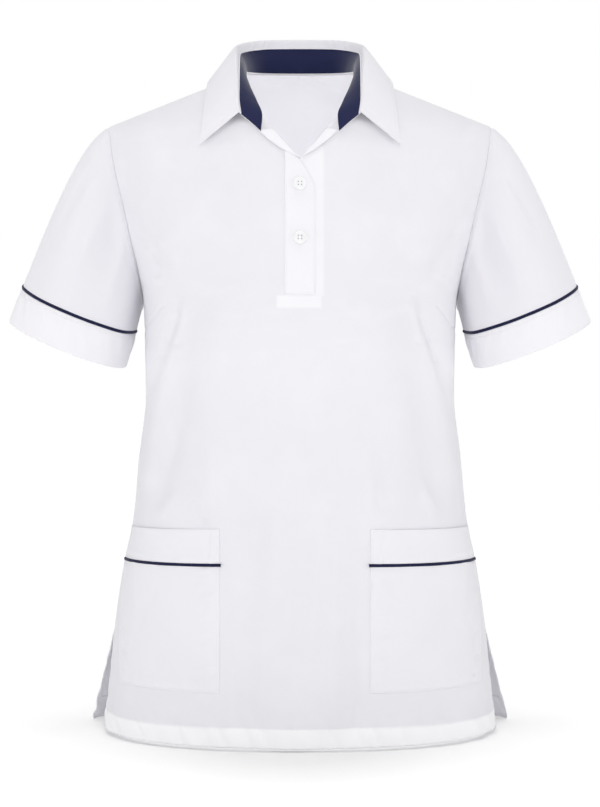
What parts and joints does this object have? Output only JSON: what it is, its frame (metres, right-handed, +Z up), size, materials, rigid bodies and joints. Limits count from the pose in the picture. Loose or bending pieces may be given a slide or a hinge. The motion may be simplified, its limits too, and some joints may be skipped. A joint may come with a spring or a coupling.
{
  "type": "tunic",
  "caption": "Short-sleeved healthcare tunic in its worn hollow shape, with shirt collar, half placket, patch pockets, piping and side vents.",
  "frame": {"origin": "middle of the neck opening, level with the point where shoulder and collar meet, where the wearer's neck holds it", "axes": "+Z up, -Y out of the front, +X towards the wearer's left"},
  "size_m": [0.632, 0.2793, 0.7537],
  "materials": {
    "white_cloth": "plain woven poly-cotton, matt, smooth",
    "navy_cloth": "plain woven navy poly-cotton, matt",
    "navy_piping": "navy bias piping, matt",
    "button": "white polyester resin, soft gloss"
  },
  "bodies": {
    "root": {"front": "white_cloth", "back": "white_cloth", "front_hem": "white_cloth", "back_hem": "white_cloth", "sleeve_left": "white_cloth", "sleeve_right": "white_cloth", "sleeve_band_left": "white_cloth", "sleeve_band_right": "white_cloth", "sleeve_piping_left": "navy_piping", "sleeve_piping_right": "navy_piping", "collar_fall": "white_cloth", "collar_stand": "white_cloth", "collar_stand_navy": "navy_cloth", "placket_over": "white_cloth", "placket_under": "white_cloth", "slit_edge_left": "white_cloth", "slit_edge_right": "white_cloth", "pocket_left": "white_cloth", "pocket_right": "white_cloth", "pocket_band_left": "white_cloth", "pocket_band_right": "white_cloth", "pocket_piping_left": "navy_piping", "pocket_piping_right": "navy_piping", "button_1": "button", "button_2": "button"}
  },
  "joints": []
}
